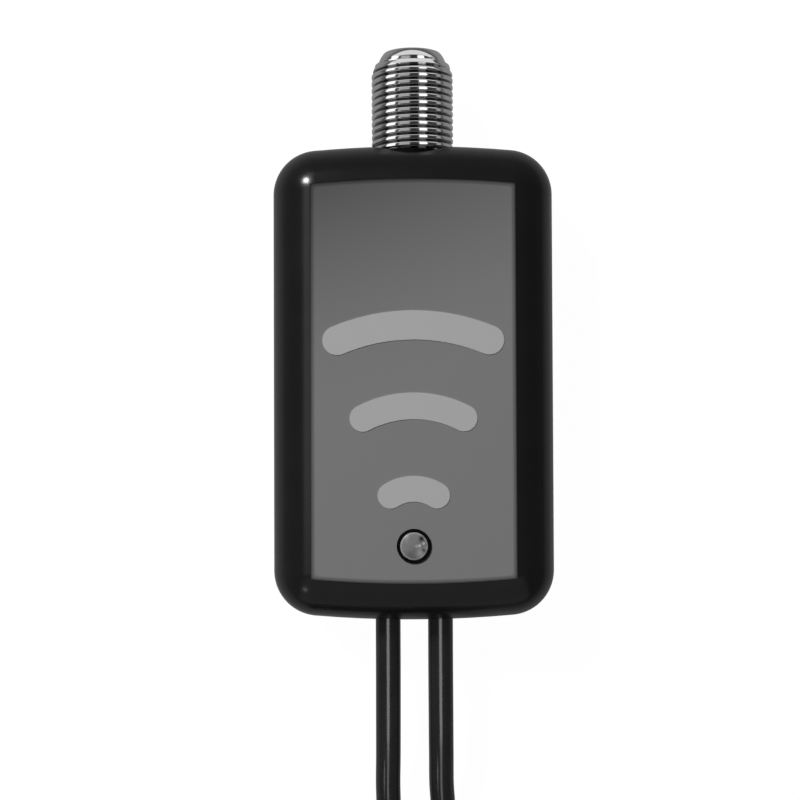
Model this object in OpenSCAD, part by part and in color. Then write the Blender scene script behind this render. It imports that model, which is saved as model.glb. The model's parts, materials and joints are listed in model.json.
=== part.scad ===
// In-line antenna signal booster: a clamshell housing with a threaded F socket at one end,
// and a coax lead and a USB power lead at the other. It lies on its back: +Z is out of the
// face, +Y is towards the socket, and Z = 0 is the surface it lies on.

/* [Housing] */
// Width of the housing
housing_w = 32.2; // [31.6:0.1:34]
// Length of the housing, at its middle
housing_l = 54.6; // [54:0.1:58]
// Thickness of the housing
housing_t = 15; // [14.8:0.1:17]
// Radius of the rounded edges and corners
edge_r = 5.2; // [5:0.1:5.4]
// Thickness of the walls
wall = 1.6; // [1.4:0.1:1.8]

/* [Face] */
// How far the face panel reaches past the start of the rounded edge
panel_over = 0.68; // [0.4:0.01:0.8]
// Thickness of the face panel
panel_t = 0.25; // [0.15:0.05:0.4]
// Thickness of the printed marks
ink_t = 0.08; // [0.05:0.01:0.15]
// Place of the status lamp, from the middle of the housing
led_y = -18.55; // [-19:0.05:-18]
// Diameter of the lamp's lens
led_d = 3.1; // [2.9:0.1:3.3]

/* [Antenna socket] */
// Outside diameter of the thread, 3/8 inch
thread_d = 9.525; // [9.4:0.005:9.6]
// Pitch of the thread, 32 to the inch
thread_pitch = 0.79375; // [0.75:0.00625:0.85]
// How far the socket stands out of the housing
port_out = 11.4; // [11.4:0.1:12.5]
// Bore of the centre contact
contact_bore = 1.1; // [1:0.05:1.2]

/* [Leads] */
// Diameter of both leads
cable_d = 2.9; // [2.7:0.1:3]
// Distance between the leads where they leave the housing
cable_gap = 6.1; // [6:0.1:6.6]

/* [Plugs] */
// Diameter of the coupling nut
nut_d = 11.4; // [11:0.1:11.6]
// Length of the coupling nut
nut_l = 12; // [11.5:0.5:12]
// Width of the USB plug's grip
grip_w = 15.6; // [15:0.1:16.5]
// Thickness of the USB plug's grip
grip_t = 7.6; // [7:0.1:7.8]

/* [Hidden] */
$fn = 96;
EPS = 0.01;

// The origin is under the middle of the housing and socket together.
body_y = -port_out / 2;
mid_z = housing_t / 2;
end_y = housing_l / 2;

// The ends are bowed arcs through the corners' centres. A 23, 264, 265 triangle stands between
// the arc's centre, the middle line and a corner's centre. Its unit has three decimals, so
// that all of these lengths are exact, and the rounding takes up what is left of the width.
bow_unit = round((housing_w / 2 - edge_r) * 1000 / 23) / 1000;
corner_x = 23 * bow_unit;
bow_rise = 264 * bow_unit;
arc_in_r = 265 * bow_unit;
round_r = housing_w / 2 - corner_x;
arc_centre_y = arc_in_r + round_r - end_y;
corner_y = bow_rise - arc_centre_y;

// Joint between the two covers.
lip_t = 0.7;
lip_h = 1;
lip_gap = 0.1;
seam_d = 0.18;
seam_h = 0.14;

// Screws and the posts they hold.
screw_x = 9.4;
screw_y = 20.3;
post_r = 2.2;
pilot_r = 0.8;
screw_r = 0.9;
screw_hole_r = 1.15;
screw_head_r = 1.75;
screw_head_h = 1.2;
screw_sink = 1.9;
screw_top = mid_z + 4.4;

// Circuit board.
board_t = 1.2;
board_z = 4.4;
board_top = board_z + board_t;
board_x = 12.6;
board_y0 = -21.3;
board_y1 = 19.7;
notch_x = 6.9;
notch_y = 17.8;
peg_x = 11;
peg_y = 5;
peg_r = 0.9;
peg_hole_r = 1;

// Status lamp.
led_top = housing_t + 0.5;
led_base = board_top + 3.2;
led_rim_r = 1.95;
bezel_r = 1.92;
bezel_top = housing_t + 0.2;
lead_x = 1.27;
lead_w = 0.5;

// Antenna socket, along its own axis from the end of the housing.
thread_r = thread_d / 2;
thread_depth = 0.52 * thread_pitch;
thread_root_r = thread_r - thread_depth;
thread_from = -0.4;
thread_turns = floor((port_out - thread_from - 1.25) / thread_pitch);
thread_to = thread_from + thread_turns * thread_pitch;
nose_r = 3.9;
neck_r = 4.2;
seal_r = 4.9;
seal_in = 2.6;
seal_out = -0.7;
seal_lip_r = 5.6;
seal_lip_in = 1.2;
flange_r = 5.4;
flange_from = -3.5;
flange_to = -5;
barrel_r = 3.6;
barrel_to = -7.2;
bore_r = 2.35;
insulator_r = 2.3;
contact_r = 0.85;

// Leads inside and at the wall.
cable_r = cable_d / 2;
exit_y = body_y - end_y;
grommet_r = 2.25;
grommet_rim_r = 2.9;
grommet_in = 1.5;

// Coils: middle radius, place, turns across and up, and the surface they lie on.
tie_t = 0.5;
coax_coil_r = 14.5;
coax_coil_at = [-10, -79];
coax_across = 2;
coax_up = 2;
usb_coil_r = 15.5;
usb_coil_at = [-5.5, -123];
usb_across = 3;
usb_up = 3;

// Middle lines of the leads outside their coils, from the housing inwards to the coil, and
// from the coil to the plug.
COAX_LEAD = [
    [-3.05, -29, 7.5], [-3.05, -34, 7.5], [-3.05, -39, 7.45], [-3.07, -44, 7.1],
    [-3.1, -49, 6.2], [-3.15, -54, 4.7], [-2.8, -59, 3], [-1, -64, 1.9],
    [2, -69, 1.5], [4.8, -74, 1.7], [5.95, -79, 1.95]
];
USB_LEAD = [
    [3.05, -29, 7.5], [3.05, -34, 7.5], [3.05, -39, 7.45], [3.07, -44, 7.1],
    [3.1, -49, 6.2], [3.2, -54, 4.7], [3.9, -59, 3], [5.8, -64, 1.9],
    [8.2, -69, 1.5], [10, -74, 1.5], [10.8, -80, 1.5], [11, -87, 1.5],
    [11.1, -94, 1.5], [11.4, -101, 1.5], [12, -108, 1.5], [12.6, -115, 1.7],
    [12.9, -123, 1.95]
];
COAX_TAIL = [
    [-24.6, -82, 6.4], [-24.9, -77, 7.3], [-24.6, -71, 7.9], [-23.1, -65.8, 8],
    [-19.5, -62.6, 8.1], [-14.4, -61, 8.4], [-8.4, -60.8, 9.1], [-2.9, -62.2, 10.2],
    [1.1, -64.9, 11.4], [2.8, -68, 12.1], [3, -70.5, 12.3], [3, -74, 12.3]
];
USB_TAIL = [
    [-20.6, -127.5, 10.3], [-21.4, -121, 10.7], [-21.3, -114, 10.8], [-19.8, -108, 10.9],
    [-16.4, -104.1, 11.1], [-11.7, -103.3, 11.7], [-8, -105.4, 12.6], [-6.6, -108.8, 13],
    [-6.5, -112, 13.1], [-6.5, -116, 13.1]
];

// Coax plug, along its own axis from the back of its boot.
coax_axis = [3, -69, 12.3];
boot_l = 8;
ferrule_r = 3.75;
ferrule_to = 16.6;
collar_r = 4.35;
collar_to = 17.8;
nut_from = 14.4;
nut_bore_r = 3.8;
nut_wall = 2;
nut_minor_r = 4.42;
nut_major_r = 4.85;
knurls = 30;
pin_r = 0.5;
core_r = 0.3;
pin_to = 27.6;

// USB plug, along its own axis from the back of its boot.
usb_axis = [-6.5, -111, 13.1];
usb_boot_l = 9;
grip_l = 22;
shell_w = 12;
shell_t = 4.5;
shell_l = 12.6;
shell_wall = 0.3;
tongue_t = 1.9;

function unit(v) = v / norm(v);
function last(list) = len(list) - 1;
function heading(route, i) = unit(route[min(i + 1, last(route))] - route[max(i - 1, 0)]);
function hoop(at, along, r, sides) =
    let (side = unit(cross(along, [0, 0, 1])), up = cross(side, along))
    [for (k = [0:sides - 1]) at + r * (cos(360 * k / sides) * side + sin(360 * k / sides) * up)];

// A tube swept along a route, one hoop of points at each of its points.
module tube(route, d, sides = 8) {
    hoops = [for (i = [0:last(route)]) each hoop(route[i], heading(route, i), d / 2, sides)];
    walls = [
        for (i = [0:last(route) - 1], k = [0:sides - 1])
            let (a = i * sides, b = a + sides, n = (k + 1) % sides)
            each [[a + k, a + n, b + n], [a + k, b + n, b + k]]
    ];
    first_cap = [for (k = [0:sides - 1]) sides - 1 - k];
    last_cap = [for (k = [0:sides - 1]) last(route) * sides + k];
    polyhedron(points = hoops, faces = concat(walls, [first_cap, last_cap]), convexity = 6);
}

// Stands a shape made along +Z on the housing's end, pointing out along +Y.
module on_port_axis() {
    translate([0, body_y + end_y, mid_z]) rotate([-90, 0, 0]) children();
}

// Lays a shape made along +Z at a plug's back end, pointing along -Y.
module on_plug_axis(axis) {
    translate(axis) rotate([90, 0, 0]) children();
}

module in_housing() {
    translate([0, body_y, 0]) children();
}

module ring(outer, inner, h) {
    difference() {
        cylinder(r = outer, h = h);
        translate([0, 0, -1]) cylinder(r = inner, h = h + 2);
    }
}

// A rectangle with round corners.
module round_rect(w, l, r) {
    square([w - 2 * r, l], center = true);
    square([w, l - 2 * r], center = true);
    for (x = [-1, 1], y = [-1, 1]) translate([x * (w / 2 - r), y * (l / 2 - r)]) circle(r = r);
}

module block(w, l, h, r) {
    linear_extrude(h) round_rect(w, l, r);
}

// The flat part of the face: straight sides and bowed ends.
module flat_outline(inset) {
    intersection() {
        square([2 * (corner_x - inset), housing_l], center = true);
        translate([0, -arc_centre_y]) circle(r = arc_in_r - inset, $fn = 256);
        translate([0, arc_centre_y]) circle(r = arc_in_r - inset, $fn = 256);
    }
}

// Section of the edge, from the corner sphere's centre outwards: upright, then round.
module edge_section(r, h, drop) {
    translate([0, -drop]) square([r, h - r + drop]);
    intersection() {
        translate([0, h - r]) circle(r = r);
        translate([0, h - r]) square([r, r]);
    }
}

// A plan polygon that stands as high as the housing.
module prism(points) {
    translate([0, 0, -housing_t]) linear_extrude(2 * housing_t) polygon(points);
}

// Carries a section round the edge of the housing: sides, bowed ends and corners. The wedges
// meet on the lines through the corners' centres.
module round_the_edge() {
    for (s = [0, 180]) rotate([0, 0, s]) {
        translate([corner_x, corner_y, 0]) rotate([90, 0, 0]) linear_extrude(2 * corner_y)
            children();
        intersection() {
            translate([0, -arc_centre_y, 0]) rotate_extrude($fn = 256)
                translate([arc_in_r, 0]) children();
            prism([
                [0, -arc_centre_y], [2 * corner_x, corner_y + bow_rise],
                [-2 * corner_x, corner_y + bow_rise]
            ]);
        }
        for (m = [0, 1]) mirror([m, 0, 0]) intersection() {
            translate([corner_x, corner_y, 0]) rotate([0, 0, 180]) rotate_extrude() children();
            translate([corner_x, corner_y, 0]) prism([
                [0, 0], [2 * round_r, 0], [2 * round_r, 2 * round_r],
                [corner_x / 10, bow_rise / 10]
            ]);
        }
    }
}

// One cover's walls and face, face up, with the middle plane at Z = 0. The section may have
// material added below the wall, and taken from it.
module half_shell() {
    translate([0, 0, mid_z - wall]) linear_extrude(wall) flat_outline(0);
    round_the_edge() {
        difference() {
            edge_section(round_r, mid_z, 0);
            edge_section(round_r - wall, mid_z - wall, 1);
            translate([round_r - seam_d, -1]) square([1, 1 + seam_h]);
            children();
        }
    }
}

module at_screws() {
    for (x = [-1, 1], y = [-1, 1]) translate([x * screw_x, y * screw_y, 0]) children();
}

// Holes through the end walls for the socket and the two leads.
module end_holes() {
    translate([0, end_y - wall - 2, 0]) rotate([-90, 0, 0])
        cylinder(r = seal_r + 0.05, h = wall + 4);
    translate([0, end_y - seal_lip_in - 0.05, 0]) rotate([-90, 0, 0])
        cylinder(r = seal_lip_r + 0.05, h = wall + 4);
    for (x = [-1, 1]) translate([x * cable_gap / 2, -end_y - 2, 0]) rotate([-90, 0, 0])
        cylinder(r = grommet_r + 0.05, h = wall + 4);
}

module front_cover() {
    color([0.03, 0.03, 0.032]) translate([0, body_y, mid_z]) difference() {
        union() {
            half_shell();
            round_the_edge() translate([round_r - wall, -lip_h]) square([lip_t, lip_h + 0.5]);
            at_screws() translate([0, 0, 0.2]) cylinder(r = post_r, h = mid_z - wall);
        }
        end_holes();
        at_screws() cylinder(r = pilot_r, h = screw_top - mid_z + 0.5);
        translate([0, 0, mid_z - panel_t]) linear_extrude(1) flat_outline(-panel_over - 0.03);
        translate([0, led_y, 0]) cylinder(r = bezel_r + 0.02, h = mid_z + 1);
    }
}

module rear_cover() {
    color([0.03, 0.03, 0.032]) translate([0, body_y, mid_z]) difference() {
        union() {
            rotate([0, 180, 0]) half_shell() translate([0, -1])
                square([round_r - wall + lip_t + lip_gap, 1 + lip_h + lip_gap]);
            at_screws() translate([0, 0, wall - mid_z - 0.2])
                cylinder(r = post_r, h = mid_z - wall + 0.3);
            for (x = [-1, 1], y = [-1, 1]) translate([x * peg_x, y * peg_y, 0]) {
                translate([0, 0, wall - mid_z - 0.2])
                    cylinder(r = 1.6, h = board_z - wall + 0.2);
                translate([0, 0, wall - mid_z]) cylinder(r = peg_r, h = board_top - wall + 0.8);
            }
        }
        end_holes();
        at_screws() {
            translate([0, 0, -mid_z - 1]) cylinder(r = screw_hole_r, h = mid_z + 2);
            translate([0, 0, -mid_z - 1]) cylinder(r = screw_head_r + 0.15, h = screw_sink + 1);
        }
        translate([0, 0, -mid_z - 1]) block(14.2, 24.2, 1.2, 1.1);
    }
}

module face_panel() {
    color([0.16, 0.16, 0.16]) in_housing() translate([0, 0, housing_t - panel_t])
        difference() {
            linear_extrude(panel_t) flat_outline(-panel_over);
            translate([0, led_y, -1]) cylinder(r = bezel_r + 0.02, h = 2);
        }
}

// A bowed bar with round ends, its middle line at radius r about (0, centre_y).
module signal_mark(r, half_angle, width, centre_y) {
    translate([0, centre_y, housing_t]) {
        rotate([0, 0, 90 - half_angle]) rotate_extrude(angle = 2 * half_angle)
            translate([r - width / 2, 0]) square([width, ink_t]);
        for (s = [-1, 1]) translate([s * r * sin(half_angle), r * cos(half_angle), 0])
            cylinder(d = width, h = ink_t, $fn = 48);
    }
}

module signal_marks() {
    color([0.42, 0.42, 0.42]) in_housing() {
        signal_mark(22.1, 22.8, 3.3, -15.83);
        signal_mark(12.3, 27.5, 3, -15.13);
        signal_mark(4.8, 32.8, 2.9, -16.93);
    }
}

module rating_label() {
    color([0.75, 0.75, 0.75]) in_housing() translate([0, 0, 0.08]) block(14, 24, 0.12, 1);
}

module led_bezel() {
    color([0.02, 0.02, 0.02]) in_housing() translate([0, led_y, housing_t - wall - 0.4])
        ring(bezel_r, led_d / 2 + 0.03, bezel_top - housing_t + wall + 0.4);
}

module status_led() {
    dome_h = 0.35;
    dome_r = (led_d * led_d / 4 + dome_h * dome_h) / (2 * dome_h);
    color([0.8, 0.8, 0.8, 0.5]) in_housing() translate([0, led_y, 0]) {
        translate([0, 0, led_base]) cylinder(r = led_rim_r, h = 0.9);
        translate([0, 0, led_base]) cylinder(d = led_d, h = led_top - dome_h - led_base);
        intersection() {
            translate([0, 0, led_top - dome_r]) sphere(r = dome_r);
            translate([0, 0, led_top - dome_h - EPS]) cylinder(d = led_d, h = dome_h + 1);
        }
    }
}

module led_legs() {
    color("silver") in_housing() for (s = [-1, 1])
        translate([s * lead_x - lead_w / 2, led_y - lead_w / 2, board_z - 1])
            cube([lead_w, lead_w, led_base - board_z + 1]);
}

// Outside of the socket as (radius, place along the axis), from the nose to the flange.
function thread_ridges() = [
    for (i = [thread_turns - 1:-1:0])
        let (z = thread_from + i * thread_pitch, p = thread_pitch)
        each [
            [thread_root_r, z + p], [thread_r, z + 0.56 * p],
            [thread_r, z + 0.44 * p], [thread_root_r, z + EPS]
        ]
];

module port_body() {
    color([0.82, 0.82, 0.84]) {
        on_port_axis() difference() {
            rotate_extrude() polygon(concat(
                [
                    [bore_r, port_out - 0.25], [bore_r + 0.25, port_out],
                    [3.2, port_out], [3.5, port_out - 0.3], [3.75, port_out - 0.7],
                    [nose_r, port_out - 1.1], [nose_r, thread_to + 0.15]
                ],
                thread_ridges(),
                [
                    [thread_root_r, thread_from], [neck_r, thread_from - 0.1],
                    [neck_r, flange_from], [flange_r, flange_from],
                    [flange_r, flange_to], [barrel_r, flange_to],
                    [barrel_r, barrel_to], [bore_r, barrel_to]
                ]
            ));
            translate([0, 0, barrel_to - 1]) cylinder(r = bore_r, h = 1.5);
        }
        for (s = [-1, 1]) in_housing() translate([s * 2.9 - 0.5, board_y1 - 1.6, board_z - 0.6])
            cube([1, 2.6, mid_z - board_z]);
    }
}

module port_insulator() {
    color([0.92, 0.92, 0.9]) on_port_axis() translate([0, 0, barrel_to + 0.2])
        ring(insulator_r, contact_r + 0.05, port_out - barrel_to - 0.9);
}

module port_contact() {
    inner = barrel_to - 0.6;
    color([0.8, 0.65, 0.3]) on_port_axis() {
        difference() {
            translate([0, 0, inner]) cylinder(r = contact_r, h = port_out - 1 - inner);
            translate([0, 0, 1]) cylinder(d = contact_bore, h = port_out);
        }
        translate([0, 0, inner - 1.4]) cylinder(r = 0.35, h = 1.5);
        translate([0, 0, inner - 1.4]) rotate([-90, 0, 0])
            cylinder(r = 0.35, h = mid_z - board_top);
    }
}

module port_seal() {
    color([0.02, 0.02, 0.02]) on_port_axis() {
        translate([0, 0, -seal_in]) ring(seal_r, neck_r + 0.04, seal_in + seal_out);
        translate([0, 0, -seal_lip_in]) ring(seal_lip_r, neck_r + 0.04, seal_lip_in + seal_out);
    }
}

module circuit_board() {
    color([0.05, 0.3, 0.16]) in_housing() difference() {
        translate([0, 0, board_z]) linear_extrude(board_t) polygon([
            [-notch_x, board_y0], [notch_x, board_y0], [notch_x, -notch_y], [board_x, -notch_y],
            [board_x, notch_y], [notch_x, notch_y], [notch_x, board_y1], [-notch_x, board_y1],
            [-notch_x, notch_y], [-board_x, notch_y], [-board_x, -notch_y], [-notch_x, -notch_y]
        ]);
        for (x = [-1, 1], y = [-1, 1]) translate([x * peg_x, y * peg_y, 0])
            cylinder(r = peg_hole_r, h = housing_t);
        for (s = [-1, 1]) translate([s * lead_x, led_y, 0]) cylinder(r = 0.45, h = housing_t);
        for (s = [-1, 1]) translate([s * 2.9 - 0.6, board_y1 - 1.7, 0]) cube([1.2, 3, housing_t]);
    }
}

module shield_can() {
    color([0.7, 0.7, 0.72]) in_housing() translate([0, 9, board_top]) difference() {
        block(15, 14, 3, 0.8);
        translate([0, 0, -0.25]) block(14.5, 13.5, 3, 0.6);
    }
}

module amplifier_chip() {
    color([0.05, 0.05, 0.05]) in_housing() translate([0, 9, board_top]) {
        translate([-2.25, -1.3, 0.1]) cube([4.5, 2.6, 1.4]);
        for (x = [-1.5, 0, 1.5]) translate([x - 0.25, -2.1, 0]) cube([0.5, 0.9, 0.3]);
    }
}

module regulator_chip() {
    color([0.05, 0.05, 0.05]) in_housing() translate([-5, -7, board_top]) {
        translate([-1.45, -0.8, 0.1]) cube([2.9, 1.6, 1]);
        for (x = [-0.95, 0, 0.95]) translate([x - 0.2, -1.4, 0]) cube([0.4, 0.7, 0.25]);
        for (x = [-0.95, 0.95]) translate([x - 0.2, 0.7, 0]) cube([0.4, 0.7, 0.25]);
    }
}

// A row of surface-mounted parts, a pitch apart along X.
module chip_row(x, y, count, pitch, size) {
    for (i = [0:count - 1]) translate([x + i * pitch, y, board_top])
        translate([-size[0] / 2, -size[1] / 2, 0]) cube(size);
}

module chip_capacitors() {
    color([0.6, 0.45, 0.3]) in_housing() {
        chip_row(-5, 5, 4, 3.3, [1, 1.8, 0.8]);
        chip_row(-6.6, -3.4, 3, 3.2, [1.25, 2, 0.9]);
        chip_row(-8.4, -11.4, 2, 2.6, [1.25, 2, 0.9]);
    }
}

module chip_resistors() {
    color([0.1, 0.1, 0.1]) in_housing() {
        chip_row(-4.5, 13.4, 4, 3, [0.8, 1.6, 0.5]);
        chip_row(-1.8, -7.2, 2, 2.4, [0.8, 1.6, 0.5]);
        chip_row(-1.2, -14.6, 2, 2.4, [0.8, 1.6, 0.5]);
    }
}

module power_choke() {
    color([0.2, 0.2, 0.21]) in_housing() translate([7.2, -2.8, board_top]) rotate_extrude()
        polygon([
            [0, 0], [2.4, 0], [2.4, 0.7], [1.9, 0.9], [1.9, 2.3], [2.4, 2.5], [2.4, 3.2], [0, 3.2]
        ]);
}

module rf_coils() {
    color([0.75, 0.4, 0.2]) in_housing() for (x = [-4.4, 4.4], i = [0:4])
        translate([x + (i - 2) * 0.5, 9, board_top + 1.3]) rotate([0, 90, 0])
            rotate_extrude() translate([0.95, 0]) circle(r = 0.2, $fn = 24);
}

module filter_capacitor() {
    color([0.1, 0.1, 0.12]) in_housing() translate([6.6, -10.4, board_top]) {
        cylinder(r = 2.5, h = 5.2);
        block(5.4, 5.4, 0.6, 0.4);
    }
}

module case_screws() {
    color([0.5, 0.5, 0.52]) in_housing() at_screws() difference() {
        rotate_extrude() polygon([
            [0, screw_sink - screw_head_h], [screw_head_r - 0.25, screw_sink - screw_head_h],
            [screw_head_r, screw_sink - screw_head_h + 0.25], [screw_head_r, screw_sink],
            [screw_r, screw_sink], [screw_r, screw_top - 1], [0, screw_top]
        ]);
        for (a = [0, 90]) rotate([0, 0, a]) translate([-1.1, -0.22, 0]) cube([2.2, 0.44, 1.3]);
    }
}

// A bush in the end wall: a neck in the hole and a rim inside the wall.
module grommet(x) {
    bore = cable_r + 0.03;
    rim = wall + 0.2;
    color([0.03, 0.03, 0.03]) translate([x, exit_y, mid_z]) rotate([-90, 0, 0])
        rotate_extrude() polygon([
            [bore, 0.25], [bore + 0.17, 0.05], [grommet_r, 0.05], [grommet_r, rim],
            [grommet_rim_r, rim], [grommet_rim_r, rim + grommet_in], [bore, rim + grommet_in]
        ]);
}

module coax_grommet() {
    grommet(-cable_gap / 2);
}

module usb_grommet() {
    grommet(cable_gap / 2);
}

// A thin wire from a lead's end, down onto the board.
module wire(x, r, z, run) {
    color("silver") translate([x, COAX_LEAD[0][1], z]) {
        rotate([-90, 0, 0]) cylinder(r = r, h = run, $fn = 24);
        translate([0, run, 0]) sphere(r = r, $fn = 24);
        translate([0, run, board_top - z]) cylinder(r = r, h = z - board_top, $fn = 24);
    }
}

module coax_core() {
    wire(-cable_gap / 2, 0.3, mid_z + 0.2, 4.6);
}

module coax_braid_tail() {
    wire(-cable_gap / 2 - 0.9, 0.45, mid_z - 0.3, 3.4);
}

module power_wire_red() {
    wire(cable_gap / 2 - 0.65, 0.5, mid_z, 3.6);
}

module power_wire_black() {
    wire(cable_gap / 2 + 0.65, 0.5, mid_z, 3.6);
}

// The outer shape of a coil: a ring as wide and high as its turns.
module coil_ring(at, r, across, up) {
    w = across * cable_d;
    h = up * cable_d;
    translate([at[0], at[1], tie_t]) rotate_extrude() translate([r, h / 2])
        round_rect(w, h, cable_r);
}

// A band round a coil's turns, at the given angle on the coil.
module coil_tie(at, r, across, up, angle) {
    w = across * cable_d;
    h = up * cable_d;
    translate([at[0], at[1], 0]) rotate([0, 0, angle]) translate([r, 2, tie_t + h / 2])
        rotate([90, 0, 0]) linear_extrude(4) difference() {
            round_rect(w + 2 * tie_t + 0.2, h + 2 * tie_t, cable_r + tie_t);
            round_rect(w + 0.4, h + 0.02, cable_r);
        }
}

module coax_lead() {
    color([0.03, 0.03, 0.03]) tube(COAX_LEAD, cable_d);
}

module coax_coil() {
    color([0.03, 0.03, 0.03]) coil_ring(coax_coil_at, coax_coil_r, coax_across, coax_up);
}

module coax_tail() {
    color([0.03, 0.03, 0.03]) tube(COAX_TAIL, cable_d);
}

module coax_tie() {
    color([0.05, 0.05, 0.05]) coil_tie(coax_coil_at, coax_coil_r, coax_across, coax_up, 225);
}

module coax_boot() {
    color([0.03, 0.03, 0.03]) on_plug_axis(coax_axis) rotate_extrude() polygon([
        [cable_r + 0.03, 0], [2.1, 0], [2.9, boot_l - 1.5], [3.3, boot_l - 1.5],
        [3.3, boot_l], [cable_r + 0.03, boot_l]
    ]);
}

module coax_ferrule() {
    color([0.8, 0.8, 0.82]) on_plug_axis(coax_axis) rotate_extrude() polygon([
        [1.5, boot_l], [ferrule_r - 0.3, boot_l], [ferrule_r, boot_l + 0.3],
        [ferrule_r, ferrule_to], [collar_r, ferrule_to], [collar_r, collar_to],
        [2.3, collar_to], [2.3, ferrule_to - 2], [1.5, ferrule_to - 2]
    ]);
}

module coax_dielectric() {
    color([0.93, 0.93, 0.9]) on_plug_axis(coax_axis) translate([0, 0, ferrule_to - 2])
        ring(2.3, core_r, collar_to - ferrule_to + 2);
}

module coax_pin() {
    tip_h = 0.3;
    color([0.8, 0.5, 0.3]) on_plug_axis(coax_axis) rotate_extrude() polygon([
        [0, boot_l + 4], [core_r, boot_l + 4], [core_r, collar_to],
        [pin_r, collar_to], [pin_r, pin_to - tip_h], [0.2, pin_to], [0, pin_to]
    ]);
}

module coupling_nut() {
    front = nut_from + nut_l;
    cavity = nut_from + nut_wall;
    rings = floor((front - 0.8 - collar_to - 0.6) / thread_pitch);
    color([0.8, 0.8, 0.82]) on_plug_axis(coax_axis) difference() {
        rotate_extrude() polygon(concat(
            [
                [nut_bore_r, nut_from], [nut_d / 2 - 0.5, nut_from], [nut_d / 2, nut_from + 0.5],
                [nut_d / 2, front - 0.5], [nut_d / 2 - 0.5, front],
                [nut_major_r + 0.15, front], [nut_minor_r, front - 0.6]
            ],
            [
                for (i = [0:rings - 1])
                    let (z = front - 0.8 - i * thread_pitch, p = thread_pitch)
                    each [
                        [nut_minor_r, z], [nut_major_r, z - 0.45 * p],
                        [nut_major_r, z - 0.55 * p], [nut_minor_r, z - p + EPS]
                    ]
            ],
            [
                [nut_major_r, front - 0.9 - rings * thread_pitch],
                [nut_major_r, cavity], [nut_bore_r, cavity]
            ]
        ));
        for (i = [0:knurls - 1]) rotate([0, 0, 360 * i / knurls])
            translate([nut_d / 2 + 0.22, 0, nut_from + 1.2])
                cylinder(r = 0.42, h = nut_l - 2.4, $fn = 24);
    }
}

module usb_lead() {
    color([0.03, 0.03, 0.03]) tube(USB_LEAD, cable_d);
}

module usb_coil() {
    color([0.03, 0.03, 0.03]) coil_ring(usb_coil_at, usb_coil_r, usb_across, usb_up);
}

module usb_tail() {
    color([0.03, 0.03, 0.03]) tube(USB_TAIL, cable_d);
}

module usb_tie() {
    color([0.05, 0.05, 0.05]) coil_tie(usb_coil_at, usb_coil_r, usb_across, usb_up, 330);
}

module usb_boot() {
    color([0.03, 0.03, 0.03]) on_plug_axis(usb_axis) rotate_extrude() polygon([
        [cable_r + 0.03, 0], [2.1, 0], [2.7, usb_boot_l], [cable_r + 0.03, usb_boot_l]
    ]);
}

module usb_grip() {
    color([0.03, 0.03, 0.03]) on_plug_axis(usb_axis) translate([0, 0, usb_boot_l]) {
        translate([0, 0, 3]) block(grip_w, grip_t, grip_l - 3, 2);
        block(grip_w - 4.4, grip_t - 1.4, 3.5, 1.8);
    }
}

module usb_shell() {
    color([0.8, 0.8, 0.82]) on_plug_axis(usb_axis) translate([0, 0, usb_boot_l + grip_l])
        difference() {
            block(shell_w, shell_t, shell_l, 0.6);
            translate([0, 0, -1])
                block(shell_w - 2 * shell_wall, shell_t - 2 * shell_wall, shell_l + 2, 0.3);
            for (x = [-1, 1]) translate([x * 2.9 - 1.1, -shell_t, shell_l - 7.6])
                cube([2.2, 2 * shell_t, 2.4]);
        }
}

module usb_tongue() {
    clear = shell_wall + 0.1;
    color([0.9, 0.9, 0.9]) on_plug_axis(usb_axis)
        translate([clear - shell_w / 2, shell_t / 2 - clear - tongue_t, usb_boot_l + grip_l])
            cube([shell_w - 2 * clear, tongue_t, shell_l - 0.5]);
}

module usb_contacts() {
    face_y = shell_t / 2 - shell_wall - 0.1 - tongue_t;
    color([0.85, 0.7, 0.35]) on_plug_axis(usb_axis) for (x = [-3.5, -1, 1, 3.5])
        translate([x - 0.5, face_y - 0.12, usb_boot_l + grip_l + 1])
            cube([1, 0.12, shell_l - 3 - (abs(x) < 2 ? 1 : 0)]);
}

front_cover();
rear_cover();
face_panel();
signal_marks();
rating_label();
led_bezel();
status_led();
led_legs();
port_body();
port_insulator();
port_contact();
port_seal();
circuit_board();
shield_can();
amplifier_chip();
regulator_chip();
chip_capacitors();
chip_resistors();
power_choke();
rf_coils();
filter_capacitor();
case_screws();
coax_grommet();
usb_grommet();
coax_core();
coax_braid_tail();
power_wire_red();
power_wire_black();
coax_lead();
coax_coil();
coax_tail();
coax_tie();
coax_boot();
coax_ferrule();
coax_dielectric();
coax_pin();
coupling_nut();
usb_lead();
usb_coil();
usb_tail();
usb_tie();
usb_boot();
usb_grip();
usb_shell();
usb_tongue();
usb_contacts();
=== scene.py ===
import json
import math

import bmesh
import bpy
import numpy as np
from mathutils import Matrix, Vector


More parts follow.
